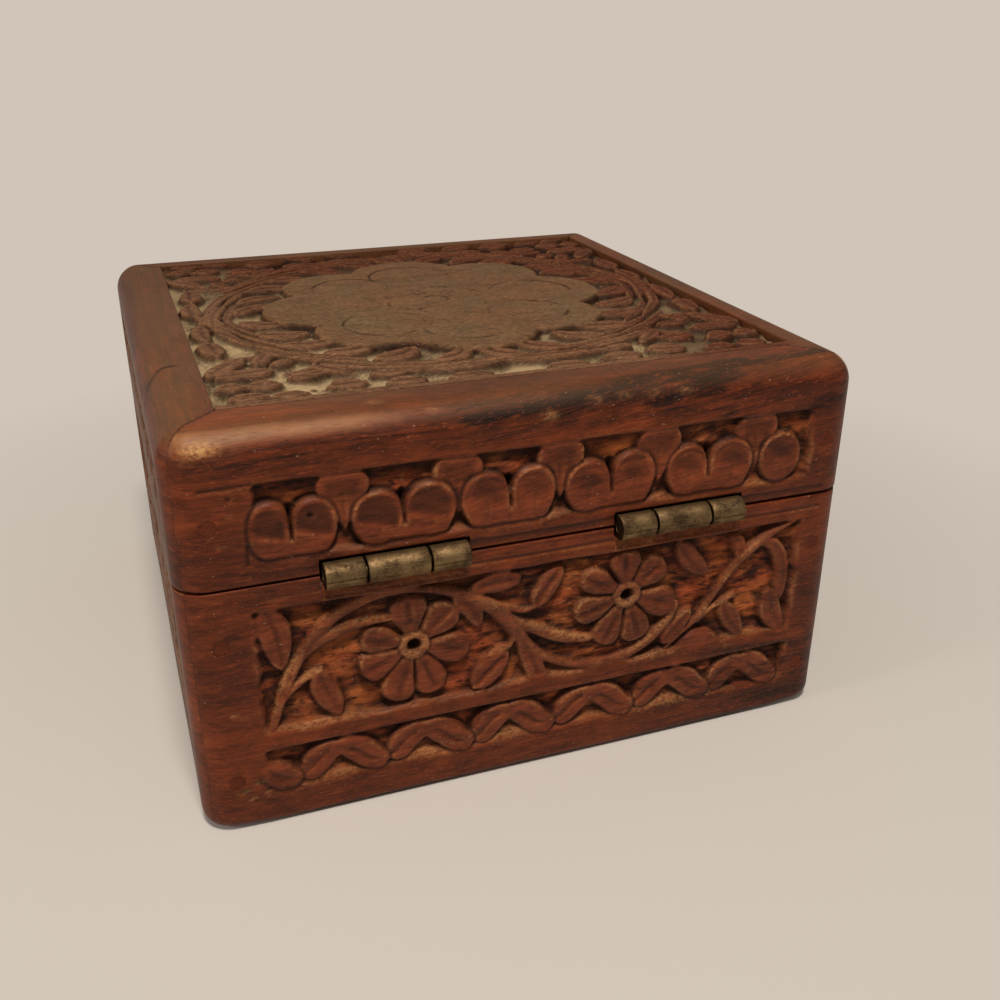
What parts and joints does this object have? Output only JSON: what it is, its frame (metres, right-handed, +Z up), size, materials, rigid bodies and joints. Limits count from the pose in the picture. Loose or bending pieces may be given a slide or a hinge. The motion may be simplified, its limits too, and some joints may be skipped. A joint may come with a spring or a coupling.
{
  "type": "keepsake box",
  "caption": "Square carved hardwood keepsake box with mitred boards, an inset top panel and a lid that swings back on small brass butt hinges.",
  "frame": {"origin": "middle of the flat underside of the closed box", "axes": "+Z up; the box opens towards -Y, and its hinges are on the +Y face; +X is to the right as seen from the front"},
  "size_m": [0.1016, 0.1039, 0.0605],
  "materials": {
    "case_wood": "worn satin, red-brown hardwood",
    "panel_wood": "worn satin, greyed red-brown hardwood",
    "inner_wood": "bare planed hardwood",
    "hinge_brass": "aged brass, rubbed on the barrels",
    "screw_brass": "aged brass",
    "nail_steel": "dull steel wire",
    "plug_filler": "stained filler dressed flush"
  },
  "bodies": {
    "body": {"body_front_wall": "case_wood", "body_back_wall": "case_wood", "body_left_wall": "case_wood", "body_right_wall": "case_wood", "body_floor": "inner_wood", "left_hinge_body_leaf": "hinge_brass", "right_hinge_body_leaf": "hinge_brass", "left_hinge_pin": "hinge_brass", "right_hinge_pin": "hinge_brass", "body_hinge_screws": "screw_brass", "body_corner_nails": "nail_steel", "body_nail_plugs": "plug_filler"},
    "lid": {"lid_front_rail": "case_wood", "lid_back_rail": "case_wood", "lid_left_rail": "case_wood", "lid_right_rail": "case_wood", "lid_top_panel": "panel_wood", "left_hinge_lid_leaf": "hinge_brass", "right_hinge_lid_leaf": "hinge_brass", "lid_hinge_screws": "screw_brass", "lid_corner_nails": "nail_steel", "lid_nail_plugs": "plug_filler"}
  },
  "joints": [
    {"name": "lid_hinge", "type": "hinge", "parent": "body", "child": "lid", "pos_m": [0, 0.0512, 0.0388], "axis": [-1, 0, 0], "range_deg": [0, 180]}
  ]
}
